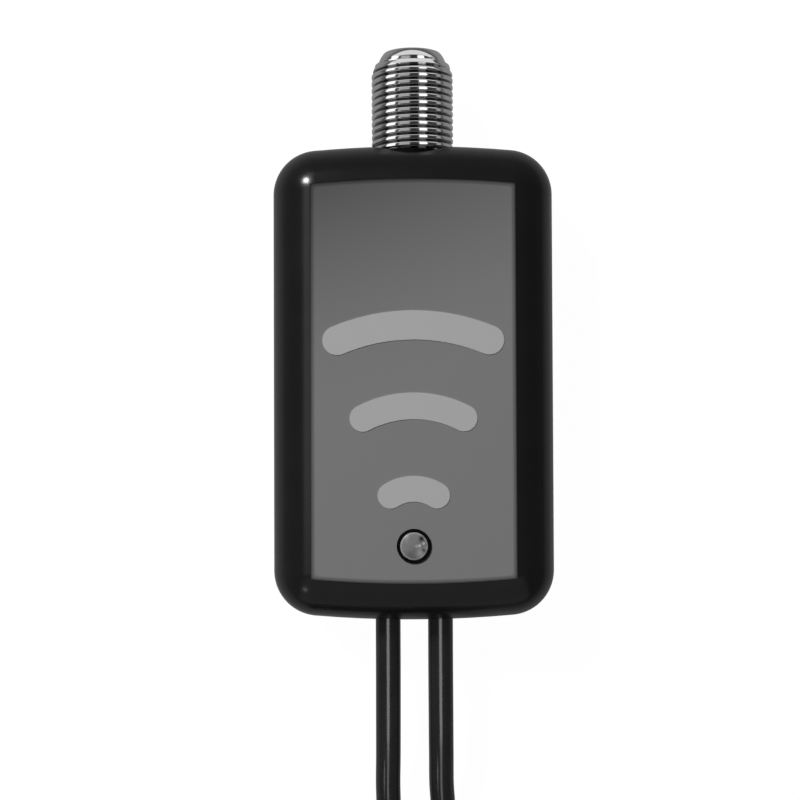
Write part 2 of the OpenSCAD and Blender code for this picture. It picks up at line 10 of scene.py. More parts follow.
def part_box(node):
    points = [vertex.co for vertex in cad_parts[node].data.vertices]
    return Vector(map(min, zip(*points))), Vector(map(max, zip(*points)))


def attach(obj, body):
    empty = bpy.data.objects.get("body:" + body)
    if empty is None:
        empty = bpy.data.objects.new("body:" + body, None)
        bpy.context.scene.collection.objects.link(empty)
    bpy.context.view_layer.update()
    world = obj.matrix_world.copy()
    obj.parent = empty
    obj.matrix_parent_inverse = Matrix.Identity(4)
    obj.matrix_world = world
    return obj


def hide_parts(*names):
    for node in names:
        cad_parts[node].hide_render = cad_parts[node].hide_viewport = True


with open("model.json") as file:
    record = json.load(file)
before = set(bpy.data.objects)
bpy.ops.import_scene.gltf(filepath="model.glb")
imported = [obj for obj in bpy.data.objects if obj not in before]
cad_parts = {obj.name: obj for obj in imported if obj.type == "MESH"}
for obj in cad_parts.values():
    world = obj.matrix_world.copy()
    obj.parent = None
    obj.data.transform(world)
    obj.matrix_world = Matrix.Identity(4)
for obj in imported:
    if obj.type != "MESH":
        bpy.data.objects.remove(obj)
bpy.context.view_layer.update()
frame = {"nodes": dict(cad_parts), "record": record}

MM = 0.001


def box_mm(name):
    """A CAD node's lowest corner, middle and highest corner, in mm."""
    low, high = (np.array(corner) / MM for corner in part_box(name))
    return [tuple(round(float(v), 3) for v in at) for at in (low, (low + high) / 2, high)]


# The height of the housing's middle plane, which the socket's axis lies in.
MID_Z = box_mm("port_body")[1][2] * MM


def new_object(name, data):
    made = bpy.data.objects.new(name, data)
    bpy.context.scene.collection.objects.link(made)
    return made


# ---------------------------------------------------------------- camera
# It looks almost straight down on the middle plane.
LOOK_AT = Vector((0, -7.7, 7.5)) * MM
CAMERA_DISTANCE = 187 * MM
CAMERA_PITCH = math.radians(1.35)
CAMERA_ROLL = math.radians(-0.23)
LENS, SENSOR_WIDTH, SHIFT_X = 71.95, 36, -0.0168
CLIP_NEAR, CLIP_FAR = 0.01, 20


def make_camera():
    data = bpy.data.cameras.new("camera")
    data.lens, data.sensor_width, data.shift_x = LENS, SENSOR_WIDTH, SHIFT_X
    data.clip_start, data.clip_end = CLIP_NEAR, CLIP_FAR
    camera = new_object("camera", data)
    turn = Matrix.Rotation(CAMERA_PITCH, 4, "X") @ Matrix.Rotation(CAMERA_ROLL, 4, "Z")
    back = Matrix.Translation((0, 0, CAMERA_DISTANCE))
    camera.matrix_world = Matrix.Translation(LOOK_AT) @ turn @ back
    bpy.context.scene.camera = camera


make_camera()

# ---------------------------------------------------------------- node helpers


def node(tree, kind, settings=None, **inputs):
    """A new shader node. A key is an input's name with _ for spaces, or i0, i1 for its place."""
    made = tree.nodes.new("ShaderNode" + kind)
    for key, value in (settings or {}).items():
        setattr(made, key, value)
    for key, value in inputs.items():
        place = int(key[1:]) if key[0] == "i" and key[1:].isdigit() else key.replace("_", " ")
        socket = made.inputs[place]
        if isinstance(value, bpy.types.NodeSocket):
            tree.links.new(value, socket)
        else:
            socket.default_value = value
    return made


def math_node(tree, operation, *values):
    inputs = {f"i{k}": value for k, value in enumerate(values)}
    return node(tree, "Math", {"operation": operation}, **inputs).outputs[0]


def vector_node(tree, operation, *values):
    inputs = {f"i{k}": value for k, value in enumerate(values)}
    made = node(tree, "VectorMath", {"operation": operation}, **inputs)
    return made.outputs["Value" if operation == "LENGTH" else 0]


def ramp(tree, value, stops, interpolation="EASE"):
    """Greys at places from 0 to 1."""
    made = node(tree, "ValToRGB", None, Fac=value)
    made.color_ramp.interpolation = interpolation
    while len(made.color_ramp.elements) < len(stops):
        made.color_ramp.elements.new(0.5)
    for element, (place, grey) in zip(made.color_ramp.elements, stops):
        element.position = place
        element.color = (grey, grey, grey, 1)
    return made.outputs[0]


def noise(tree, place, scale, detail, roughness=0.5, stretch=None):
    if stretch:
        place = node(tree, "Mapping", None, Vector=place, Scale=stretch).outputs[0]
    sizes = {"Scale": scale, "Detail": detail, "Roughness": roughness}
    return node(tree, "TexNoise", None, Vector=place, **sizes).outputs[0]


def spread(tree, value, low, high):
    """Maps 0 to 1 onto low to high."""
    return node(tree, "MapRange", None, Value=value, To_Min=low, To_Max=high).outputs[0]


def tinted(tree, amount, low, high):
    mixed = node(tree, "Mix", {"data_type": "RGBA"}, Factor=amount, A=(*low, 1), B=(*high, 1))
    return mixed.outputs[2]


def grey_colour(tree, grey):
    return node(tree, "CombineColor", None, Red=grey, Green=grey, Blue=grey).outputs[0]


LEAST_ROUGH, COAT_ROUGH, SHEEN_ROUGH = 0.02, 0.1, 0.4


def surface(
    name, colour, rough, metal=0.0, specular=0.5, grain=(6000, 0.004), mottle=(300, 0.12),
    rough_spread=0.08, coat=0.0, stretch=None, paint=None, relief=None, sheen=0.0,
):
    """A procedural material: mottled colour, uneven roughness and a fine relief, at real scale.
    grain is the relief's noise scale and height in mm, and mottle is the colour's noise scale and
    how far it varies. paint(tree, place) gives the colour instead, where colour is None, and
    relief(tree, place) a further height in metres."""
    material = bpy.data.materials.new(name)
    material.use_nodes = True
    tree = material.node_tree
    shader = tree.nodes["Principled BSDF"]
    place = node(tree, "TexCoord").outputs["Object"]
    (grain_scale, grain_height), (mottle_scale, mottle_share) = grain, mottle
    cloud = noise(tree, place, mottle_scale, 4.0)
    if paint:
        base = paint(tree, place)
    else:
        low = tuple(c * (1 - mottle_share) for c in colour)
        high = tuple(min(1.0, c * (1 + mottle_share)) for c in colour)
        base = tinted(tree, cloud, low, high)
    tree.links.new(base, shader.inputs["Base Color"])
    fine = noise(tree, place, grain_scale, 3.0, 0.6, stretch)
    halves = [math_node(tree, "MULTIPLY", part, 0.5) for part in (fine, cloud)]
    worn = math_node(tree, "ADD", *halves)
    smoothest = max(LEAST_ROUGH, rough - rough_spread)
    tree.links.new(spread(tree, worn, smoothest, rough + rough_spread), shader.inputs["Roughness"])
    height = math_node(tree, "MULTIPLY", fine, grain_height * MM)
    if relief:
        height = math_node(tree, "ADD", height, relief(tree, place))
    bump = node(tree, "Bump", None, Height=height, Distance=1.0, Strength=1.0)
    tree.links.new(bump.outputs[0], shader.inputs["Normal"])
    shader.inputs["Metallic"].default_value = metal
    shader.inputs["Specular IOR Level"].default_value = specular
    if coat:
        shader.inputs["Coat Weight"].default_value = coat
        shader.inputs["Coat Roughness"].default_value = COAT_ROUGH
    if sheen:
        shader.inputs["Sheen Weight"].default_value = sheen
        shader.inputs["Sheen Roughness"].default_value = SHEEN_ROUGH
    return material


# A wave texture's scale for one band in each metre.
ONE_BAND = 0.314159


def wave(tree, place, axis, period, depth):
    """Parallel grooves across an axis, as a height in metres."""
    settings = {"wave_type": "BANDS", "bands_direction": axis}
    made = node(tree, "TexWave", settings, Vector=place, Scale=ONE_BAND / period)
    return math_node(tree, "MULTIPLY", made.outputs["Fac"], depth)


# ---------------------------------------------------------------- mesh helpers
SAME_PLACE = 1e-7
LATHE_SIDES = 96


def piece(name, verts, faces, material, slot, stands_for, crease=40):
    """A mesh that stands for CAD nodes. Edges sharper than crease degrees stay sharp."""
    mesh = bpy.data.meshes.new(name)
    mesh.from_pydata([tuple(v) for v in verts], [], faces)
    work = bmesh.new()
    work.from_mesh(mesh)
    bmesh.ops.remove_doubles(work, verts=work.verts, dist=SAME_PLACE)
    bmesh.ops.recalc_face_normals(work, faces=work.faces)
    for edge in work.edges:
        if len(edge.link_faces) == 2 and edge.calc_face_angle(0) > math.radians(crease):
            edge.smooth = False
    work.to_mesh(mesh)
    work.free()
    mesh.polygons.foreach_set("use_smooth", [True] * len(mesh.polygons))
    mesh.materials.append(material)
    made = new_object(name, mesh)
    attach(made, "booster")
    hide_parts(*stands_for)
    return made


def grid_faces(rows, columns, close_rows=False):
    """Quads between rows of points laid out one after another, each row a closed ring."""
    faces = []
    for i in range(rows if close_rows else rows - 1):
        a, b = i * columns, (i + 1) % rows * columns
        for k in range(columns):
            n = (k + 1) % columns
            faces.append((a + k, a + n, b + n, b + k))
    return faces


def end_caps(rows, columns):
    """The faces that close the first and the last row."""
    return [tuple(range(columns)), tuple(range((rows - 1) * columns, rows * columns))]


def lathe(profile, to_place):
    """A closed profile of (radius, along) turned round an axis. to_place puts (x, y, along) in
    the frame."""
    verts = []
    for k in range(LATHE_SIDES):
        a = 2 * math.pi * k / LATHE_SIDES
        verts += [to_place(r * math.cos(a), r * math.sin(a), along) for r, along in profile]
    return verts, grid_faces(LATHE_SIDES, len(profile), close_rows=True)


# ---------------------------------------------------------------- cords
# The routes are part.scad's, in mm.
CORD_D = 2.9
CORD_R = CORD_D / 2
COAX_LEAD = [
    (-3.05, -29, 7.5), (-3.05, -34, 7.5), (-3.05, -39, 7.45), (-3.07, -44, 7.1), (-3.1, -49, 6.2),
    (-3.15, -54, 4.7), (-2.8, -59, 3), (-1, -64, 1.9), (2, -69, 1.5), (4.8, -74, 1.7),
]
USB_LEAD = [
    (3.05, -29, 7.5), (3.05, -34, 7.5), (3.05, -39, 7.45), (3.07, -44, 7.1), (3.1, -49, 6.2),
    (3.2, -54, 4.7), (3.9, -59, 3), (5.8, -64, 1.9), (8.2, -69, 1.5), (10, -74, 1.5),
    (10.8, -80, 1.5), (11, -87, 1.5), (11.1, -94, 1.5), (11.4, -101, 1.5), (12, -108, 1.5),
    (12.6, -115, 1.7),
]
COAX_TAIL = [
    (-24.6, -82, 6.4), (-24.9, -77, 7.3), (-24.6, -71, 7.9), (-23.1, -65.8, 8),
    (-19.5, -62.6, 8.1), (-14.4, -61, 8.4), (-8.4, -60.8, 9.1), (-2.9, -62.2, 10.2),
    (1.1, -64.9, 11.4), (2.8, -68, 12.1), (3, -70.5, 12.3), (3, -74, 12.3),
]
USB_TAIL = [
    (-21.4, -121, 10.7), (-21.3, -114, 10.8), (-19.8, -108, 10.9),
    (-16.4, -104.1, 11.1), (-11.7, -103.3, 11.7), (-8, -105.4, 12.6), (-6.6, -108.8, 13),
    (-6.5, -112, 13.1), (-6.5, -116, 13.1),
]
COAX_COIL_AT, USB_COIL_AT = (box_mm(name)[1][:2] for name in ("coax_coil", "usb_coil"))
# How a coil is wound: (degrees wound, radius, height) of the cord's middle.
COAX_WINDING = [
    (0, 15.95, 1.95), (250, 15.95, 1.95), (315, 13.05, 1.95), (555, 13.05, 1.95), (585, 12.9, 3.6),
    (612, 14.3, 4.85), (675, 14.5, 4.85), (720, 14.5, 4.5), (850, 14.5, 4.5), (872, 14.7, 5.5),
]
OUTER, MIDDLE, INNER = 18.4, 15.5, 12.6
LAYER = (1.95, 4.85, 7.75)
USB_WINDING = [
    (0, OUTER, LAYER[0]), (300, OUTER, LAYER[0]),
    (350, MIDDLE, LAYER[0]), (660, MIDDLE, LAYER[0]),
    (710, INNER, LAYER[0]), (1020, INNER, LAYER[0]), (1045, INNER - 0.6, 3.4),
    (1070, INNER, LAYER[1]), (1380, INNER, LAYER[1]),
    (1430, MIDDLE, LAYER[1]), (1740, MIDDLE, LAYER[1]),
    (1790, OUTER, LAYER[1]), (2100, OUTER, LAYER[1]), (2125, OUTER + 0.1, 6.3),
    (2150, OUTER, LAYER[2]), (2460, OUTER, LAYER[2]),
    (2510, MIDDLE, LAYER[2]), (2820, MIDDLE, LAYER[2]),
    (2870, INNER, LAYER[2]), (3012, INNER, LAYER[2]),
    (3030, INNER + 0.1, 9.2), (3048, 14.3, 10.35), (3062, 15.7, 10.6),
]
# Degrees between a coil's points, and mm between a smooth line's.
WOUND_STEP, LINE_STEP = 12, 1.0


def wound(centre, keys):
    """Points of a coil wound clockwise seen from above, every WOUND_STEP degrees."""
    out, last = [], keys[-1][0]
    turned = [k[0] for k in keys]
    for t in list(np.arange(0, last, WOUND_STEP)) + [last]:
        i = max(k for k in range(len(keys)) if turned[k] <= t)
        j = min(i + 1, len(keys) - 1)
        share = 0 if i == j else (t - turned[i]) / (turned[j] - turned[i])
        share = share * share * (3 - 2 * share)
        r = keys[i][1] + (keys[j][1] - keys[i][1]) * share
        z = keys[i][2] + (keys[j][2] - keys[i][2]) * share
        a = -math.radians(t)
        out.append((centre[0] + r * math.cos(a), centre[1] + r * math.sin(a), z))
    return out


def smooth_line(points):
    """A smooth line through the points (centripetal Catmull-Rom), with points LINE_STEP apart."""
    p = np.array([points[0]] + list(points) + [points[-1]], float)
    p[0], p[-1] = 2 * p[1] - p[2], 2 * p[-2] - p[-3]
    out = []
    for i in range(1, len(p) - 2):
        a, b, c, d = p[i - 1 : i + 3]
        count = max(2, int(np.linalg.norm(c - b) / LINE_STEP))
        ta, tc = np.linalg.norm(b - a) ** 0.5, np.linalg.norm(c - b) ** 0.5
        td = np.linalg.norm(d - c) ** 0.5
        m1 = tc * ((b - a) / ta - (c - a) / (ta + tc) + (c - b) / tc)
        m2 = tc * ((c - b) / tc - (d - b) / (tc + td) + (d - c) / td)
        for k in range(count):
            t = k / count
            h = (2 * t**3 - 3 * t**2 + 1, t**3 - 2 * t**2 + t, -2 * t**3 + 3 * t**2, t**3 - t**2)
            out.append(h[0] * b + h[1] * m1 + h[2] * c + h[3] * m2)
    out.append(p[-2])
    return out


def cord(name, points, material, stands_for):
    """A round cord on one smooth curve."""
    data = bpy.data.curves.new(name, "CURVE")
    data.dimensions, data.bevel_depth, data.bevel_resolution = "3D", CORD_R * MM, 5
    data.use_fill_caps = True
    line = smooth_line(points)
    spline = data.splines.new("POLY")
    spline.points.add(len(line) - 1)
    for point, place in zip(spline.points, line):
        point.co = (*(place * MM), 1)
    spline.use_smooth = True
    data.materials.append(material)
    made = new_object(name, data)
    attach(made, "booster")
    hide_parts(*stands_for)
    return made


jacket = surface(
    "jacket", (0.018, 0.018, 0.0182), 0.17, grain=(2500, 0.003), mottle=(150, 0.3),
    rough_spread=0.05, stretch=(1, 0.15, 1),
)
coax_cord = cord(
    "coax_cord", COAX_LEAD + wound(COAX_COIL_AT, COAX_WINDING) + COAX_TAIL, jacket,
    ["coax_lead", "coax_coil", "coax_tail"],
)
usb_cord = cord(
    "usb_cord", USB_LEAD + wound(USB_COIL_AT, USB_WINDING) + USB_TAIL, jacket,
    ["usb_lead", "usb_coil", "usb_tail"],
)

# ---------------------------------------------------------------- materials
# Places and lengths in the paints are in mm, and greys are shares of white.
_, panel_middle, panel_high = box_mm("face_panel")
HOUSING_CENTRE_Y, HALF_PANEL = panel_middle[1], panel_high[0]
# The radius of the panel's bowed ends, and how far their centres are from the panel's middle.
ARC_R, ARC_CENTRE = 126.29, 103.508
PANEL_GREY = 0.41
# The grey gets darker towards the top left: how far down a place counts for each mm to the right,
# where the shade starts above the panel's middle, and how many mm it takes.
SHADE_SLANT, SHADE_TOP, SHADE_SPAN = 0.37, 22.6, 30.0
SHADE = [(0, 0.44), (0.17, 0.6), (0.3, 0.71), (0.48, 0.84), (0.67, 0.95), (0.87, 1.0)]
# The grey darkens to its border over this many mm, and this much round its corners.
BORDER, BORDER_CORNER = 0.9, 0.6
BORDER_FADE = [(0, 0.22), (0.3, 0.62), (0.62, 1.0)]


def panel_paint(tree, place):
    """The panel's grey, darker towards the top left and at a soft dark border."""
    split = node(tree, "SeparateXYZ", None, Vector=place)
    x, y = (math_node(tree, "MULTIPLY", split.outputs[k], 1 / MM) for k in (0, 1))
    y = math_node(tree, "ADD", y, -HOUSING_CENTRE_Y)
    right = math_node(tree, "MULTIPLY", math_node(tree, "ADD", x, HALF_PANEL), SHADE_SLANT)
    down = math_node(tree, "ADD", math_node(tree, "SUBTRACT", right, y), SHADE_TOP)
    tone = ramp(tree, math_node(tree, "DIVIDE", down, SHADE_SPAN), SHADE, "LINEAR")
    side = math_node(tree, "SUBTRACT", HALF_PANEL, math_node(tree, "ABSOLUTE", x))
    ends = []
    for sign in (1, -1):
        along = math_node(tree, "ADD", y, sign * ARC_CENTRE)
        from_centre = node(tree, "CombineXYZ", None, X=x, Y=along, Z=0.0).outputs[0]
        ends.append(math_node(tree, "SUBTRACT", ARC_R, vector_node(tree, "LENGTH", from_centre)))
    end = math_node(tree, "MINIMUM", *ends)
    nearest = math_node(tree, "SMOOTH_MIN", side, end, BORDER_CORNER)
    fade = ramp(tree, math_node(tree, "DIVIDE", nearest, BORDER), BORDER_FADE)
    print_dots = spread(tree, noise(tree, place, 9000, 2.0), 0.97, 1.03)
    grey = math_node(tree, "MULTIPLY", math_node(tree, "MULTIPLY", tone, fade), print_dots)
    return grey_colour(tree, math_node(tree, "MULTIPLY", grey, PANEL_GREY))


LAMP_AT = Vector((*box_mm("status_led")[1][:2], 0))
# Painted glints and painted shade in the lamp: (x, y, radius, in mm from its middle; how much
# lighter or darker).
LAMP_GLINTS_AND_SHADE = [
    (0.28, 0.02, 0.2, 0.4), (0.62, 0.08, 0.18, 0.9), (1.08, 0.3, 0.2, 0.8),
    (0.75, -0.95, 0.55, 0.4), (0.7, -0.4, 0.45, 0.2), (1.3, -0.2, 0.3, 0.3),
    (0.85, 0.85, 0.36, -0.34), (1.05, -0.42, 0.26, -0.32), (-0.5, -0.95, 0.5, -0.08),
    (-0.4, 0.95, 0.4, -0.06),
]
# A painted glint's edge is soft, out to this many times its radius.
GLINT_SOFT = 1.4
# A painted highlight rings the lens: it gets this much lighter at this radius, in mm.
LAMP_RIM, RIM_HIGHLIGHT = 1.4, 0.22
# The darkest and lightest of its clouds.
LENS_CLOUD = (0.3, 0.44)
# The tape's weave: its period, its depth, and how far its loops stand up, in mm.
WEAVE_PERIOD, WEAVE_DEPTH, LOOP_HEIGHT = 0.5, 0.04, 0.09


def from_lamp(tree, place, x=0, y=0):
    """Distance across the face from a point that is (x, y) mm from the lamp's middle, in metres."""
    at = tuple((LAMP_AT + Vector((x, y, 0))) * MM)
    offset = vector_node(tree, "SUBTRACT", place, at)
    return vector_node(tree, "LENGTH", vector_node(tree, "MULTIPLY", offset, (1, 1, 0)))


def lens_glint_paint(tree, place):
    """An opaque stand-in for a clear lamp seen from the front: cloudy grey, with painted glints,
    painted shade and a painted highlight round the rim.
    """
    grey = spread(tree, noise(tree, place, 1800, 5.0, 0.6), *LENS_CLOUD)
    for x, y, radius, amount in LAMP_GLINTS_AND_SHADE:
        # Each speck is a painted glint where its amount is above zero and painted shade where it is
        # below.
        share = math_node(tree, "DIVIDE", from_lamp(tree, place, x, y), radius * MM * GLINT_SOFT)
        glint = ramp(tree, share, [(0, 1), (1, 0)])
        grey = math_node(tree, "ADD", grey, math_node(tree, "MULTIPLY", glint, amount))
    # A painted highlight round the lens's rim.
    share = math_node(tree, "DIVIDE", from_lamp(tree, place), LAMP_RIM * MM)
    rim_highlight = ramp(tree, share, [(0.97, 0), (1, 1)])
    grey = math_node(tree, "ADD", grey, math_node(tree, "MULTIPLY", rim_highlight, RIM_HIGHLIGHT))
    return grey_colour(tree, grey)


def weave(tree, place):
    """Hook and loop tape: short loops on a plain weave."""
    across, along = (
        wave(tree, place, axis, WEAVE_PERIOD * MM, WEAVE_DEPTH * MM) for axis in "XZ"
    )
    fuzz = math_node(tree, "MULTIPLY", noise(tree, place, 3500, 5.0, 0.7), LOOP_HEIGHT * MM)
    return math_node(tree, "ADD", math_node(tree, "ADD", across, along), fuzz)


# The look of each material slot.
LOOKS = {
    "housing_plastic": surface(
        "housing", (0.017, 0.017, 0.0172), 0.2, grain=(5000, 0.002), mottle=(200, 0.2),
        rough_spread=0.04,
    ),
    "panel_print": surface(
        "panel", None, 0.55, specular=0.1, grain=(12000, 0.001), mottle=(200, 0.05),
        paint=panel_paint,
    ),
    "mark_ink": surface(
        "mark", (0.84, 0.84, 0.84), 0.55, specular=0.1, grain=(9000, 0.001), mottle=(400, 0.02)
    ),
    "label_film": surface("label", (0.7, 0.7, 0.69), 0.45, grain=(5000, 0.004), mottle=(120, 0.04)),
    "bezel_plastic": surface(
        "bezel", (0.006, 0.006, 0.006), 0.18, grain=(6000, 0.002), rough_spread=0.05
    ),
    "clear_lens": surface(
        "lens", None, 0.3, specular=0.2, grain=(1500, 0.002), rough_spread=0.03, paint=lens_glint_paint
    ),
    "nickel": surface(
        "nickel", (0.78, 0.78, 0.785), 0.11, metal=1.0, grain=(5000, 0.003), mottle=(500, 0.06),
        rough_spread=0.05,
    ),
    "insulator_plastic": surface("insulator", (0.82, 0.82, 0.8), 0.45, mottle=(300, 0.03)),
    "contact_brass": surface("contact", (0.78, 0.57, 0.27), 0.25, metal=1.0, mottle=(400, 0.08)),
    # Near-black, darker than the other rubber: the seal's own colour, and painted shade for the
    # shadowed gap round the socket's base.
    "seal_rubber": surface("seal", (0.004, 0.004, 0.004), 0.7, specular=0.1, grain=(4000, 0.008)),
    "board_laminate": surface("board", (0.02, 0.16, 0.07), 0.35, grain=(3000, 0.006), coat=0.4),
    "tinned_steel": surface("tinned", (0.6, 0.6, 0.61), 0.35, metal=1.0, mottle=(250, 0.12)),
    "chip_plastic": surface("chip", (0.02, 0.02, 0.021), 0.55, grain=(9000, 0.006)),
    "capacitor_ceramic": surface("ceramic", (0.42, 0.28, 0.16), 0.4),
    "resistor_ceramic": surface("resistor", (0.03, 0.03, 0.035), 0.35),
    "ferrite": surface("ferrite", (0.08, 0.08, 0.085), 0.5),
    "copper_wire": surface("copper", (0.78, 0.38, 0.2), 0.28, metal=1.0),
    "capacitor_can": surface("can", (0.62, 0.62, 0.64), 0.3, metal=1.0),
    "screw_steel": surface("screw", (0.5, 0.5, 0.52), 0.32, metal=1.0, mottle=(600, 0.12)),
    "red_pvc": surface("red_wire", (0.4, 0.012, 0.012), 0.35),
    "black_pvc": surface("black_wire", (0.014, 0.014, 0.014), 0.35),
    "boot_rubber": surface(
        "boot", (0.014, 0.014, 0.0145), 0.5, grain=(3500, 0.012), rough_spread=0.1
    ),
    "tie_fabric": surface(
        "tape", (0.02, 0.02, 0.021), 0.85, grain=(5000, 0.02), mottle=(900, 0.35), relief=weave,
        sheen=0.4,
    ),
    "lead_jacket": jacket,
}

slot_of = {s["node"]: s["material_slot"] for s in frame["record"]["subparts"]}
for name, made in frame["nodes"].items():
    made.data.materials.clear()
    made.data.materials.append(LOOKS[slot_of[name]])

# ---------------------------------------------------------------- socket
# Lengths along the socket are from the end of the housing, in mm. SOCKET_ROOT is that end's Y.
SOCKET_OUT = 11.4
SOCKET_ROOT = box_mm("port_body")[2][1] - SOCKET_OUT
BORE_R, BARREL_R, FLANGE_R, NECK_R, NOSE_R = 2.35, 3.6, 5.4, 4.2, 3.9
BARREL_TO, FLANGE_TO, FLANGE_FROM, FLANGE_ROUND = -7.2, -5.0, -3.5, 0.15
# The thread is in step from THREAD_FROM. Its first groove starts further in, at THREAD_START.
PITCH, TURNS, THREAD_FROM, THREAD_START = 0.79375, 13, -0.4, -0.68
THREAD_TO = THREAD_FROM + TURNS * PITCH
CREST_R = 4.7625
DEPTH = 0.52 * PITCH
# The ridge grows to its height over RUN_IN pitches and shrinks over RUN_OUT.
RUN_IN, RUN_OUT = 0.25, 1.5
# One ridge of the thread: (share of the pitch, share of the depth).
RIDGE = [
    (0, 0), (0.06, 0.12), (0.12, 0.42), (0.18, 0.72), (0.24, 0.9), (0.31, 0.975), (0.4, 0.995),
    (0.5, 1), (0.6, 0.995), (0.69, 0.975), (0.76, 0.9), (0.82, 0.72), (0.88, 0.42), (0.94, 0.12),
]
# The rounded nose and the bore's mouth: (radius, mm back from the socket's end).
NOSE = [
    (NOSE_R, 1.1), (3.84, 0.9), (3.74, 0.68), (3.59, 0.43), (3.42, 0.2), (3.28, 0.06), (3.12, 0),
    (BORE_R + 0.3, 0), (BORE_R, 0.3),
]
SOCKET_SIDES = 144
# Nickel's grey on the crests, and the darker grey of painted shade at the bottom of the grooves.
# The painted shade is left off the last BRIGHT_TURNS, where the thread runs out.
BRIGHT_NICKEL, GROOVE_SHADE_GREY, BRIGHT_TURNS = 0.8, 0.26, 0.9


def socket_point(radius, along, angle):
    x, z = radius * math.sin(angle) * MM, radius * math.cos(angle) * MM
    return (x, (SOCKET_ROOT + along) * MM, MID_Z + z)


def make_socket():
    """The socket's body with a right-handed helical thread, as one closed turned surface."""
    root = CREST_R - DEPTH
    before = [
        (BORE_R, BARREL_TO), (BARREL_R, BARREL_TO), (BARREL_R, FLANGE_TO),
        (FLANGE_R - FLANGE_ROUND, FLANGE_TO), (FLANGE_R, FLANGE_TO + FLANGE_ROUND),
        (FLANGE_R, FLANGE_FROM - FLANGE_ROUND), (FLANGE_R - FLANGE_ROUND, FLANGE_FROM),
        (NECK_R, FLANGE_FROM), (NECK_R, THREAD_START - 0.02),
    ]
    after = [(NOSE_R + 0.06, THREAD_TO + 0.04), (NOSE_R, THREAD_TO + 0.1)]
    after += [(radius, SOCKET_OUT - back) for radius, back in NOSE]
    verts = []
    for k in range(SOCKET_SIDES):
        part = k / SOCKET_SIDES - 0.5
        rows = list(before)
        for turn in range(-1, TURNS + 1):
            for share, depth in RIDGE:
                along = THREAD_FROM + (turn + share + part) * PITCH
                run_in = min(1.0, max(0.0, (along - THREAD_START) / (RUN_IN * PITCH)))
                run_out = min(1.0, max(0.0, (THREAD_TO - along) / (RUN_OUT * PITCH)))
                radius = root + DEPTH * depth * run_in * run_out
                rows.append((radius, min(THREAD_TO, max(THREAD_START, along))))
        rows += after
        verts += [socket_point(r, a, 2 * math.pi * part) for r, a in rows]
    faces = grid_faces(SOCKET_SIDES, len(rows))
    # Underneath, where the turned surface closes, each groove meets the one a turn further on.
    first, step = len(before), len(RIDGE)
    end = len(rows) - len(after)
    tail = (SOCKET_SIDES - 1) * len(rows)
    here = [tail + i for i in [*range(first), *[first] * step, *range(first, len(rows))]]
    there = [*range(end), *[end - 1] * step, *range(end, len(rows))]
    for i in range(len(here)):
        face = dict.fromkeys((here[i - 1], here[i], there[i], there[i - 1]))
        if len(face) > 2:
            faces.append(tuple(face))
    return verts, faces


def groove_shade_paint(tree, place):
    """Bright nickel on the crests, with painted shade that darkens it towards the bottom of each
    groove.
    """
    split = node(tree, "SeparateXYZ", None, Vector=place)
    up = math_node(tree, "SUBTRACT", split.outputs[2], MID_Z)
    across = node(tree, "CombineXYZ", None, X=split.outputs[0], Y=up, Z=0.0).outputs[0]
    below = math_node(tree, "SUBTRACT", CREST_R * MM, vector_node(tree, "LENGTH", across))
    depth = math_node(tree, "DIVIDE", below, DEPTH * MM)
    thread_end = (SOCKET_ROOT + THREAD_FROM + (TURNS - BRIGHT_TURNS) * PITCH) * MM
    threaded = math_node(tree, "LESS_THAN", split.outputs[1], thread_end)
    # Painted shade that deepens towards the bottom of each groove.
    groove_shade = ramp(tree, depth, [(0.1, 0), (0.55, 0.8), (1, 1)])
    groove_shade = math_node(tree, "MULTIPLY", threaded, groove_shade)
    return grey_colour(tree, spread(tree, groove_shade, BRIGHT_NICKEL, GROOVE_SHADE_GREY))


shaded_thread_nickel = surface(
    "shaded_thread_nickel", None, 0.1, metal=1.0, grain=(5000, 0.003), mottle=(500, 0.06),
    rough_spread=0.05, paint=groove_shade_paint,
)
socket = piece("socket_body", *make_socket(), shaded_thread_nickel, "nickel", ["port_body"], crease=30)

# ---------------------------------------------------------------- lamp


def box_points(centre, size, taper=1.0):
    """Corners of a block standing on centre, its top narrower by taper."""
    (x, y, z), (w, l, h) = centre, size
    points = []
    for share, up in ((1.0, 0), (taper, h)):
        for a, b in ((-1, -1), (1, -1), (1, 1), (-1, 1)):
            points.append((x + a * w * share / 2, y + b * l * share / 2, z + up))
    return points


BLOCK_FACES = [(0, 1, 2, 3), (4, 5, 6, 7), (0, 1, 5, 4), (1, 2, 6, 5), (2, 3, 7, 6), (3, 0, 4, 7)]
# Blocks of the lamp's legs: (centre of the foot, size, how much narrower the top is).
LEG_BLOCKS = [
    ((-1.27, 0, 3.4), (0.5, 0.5, 6.2), 1.0), ((1.27, 0, 3.4), (0.5, 0.5, 6.2), 1.0),
    ((-0.95, 0, 9.5), (0.85, 0.6, 4.0), 0.55), ((0.5, 0, 9.5), (1.7, 1.0, 2.4), 0.95),
]
# The cup for the chip: its middle's x, its rings (radius, height), and the chip in it.
CUP_X, CUP_SIDES = 0.42, 32
CUP_RINGS = [(0.9, 11.9), (0.95, 13.55), (0.8, 13.7), (0.38, 13.1), (0.3, 13.05)]
CHIP_SIZE = (0.32, 0.32, 0.22)


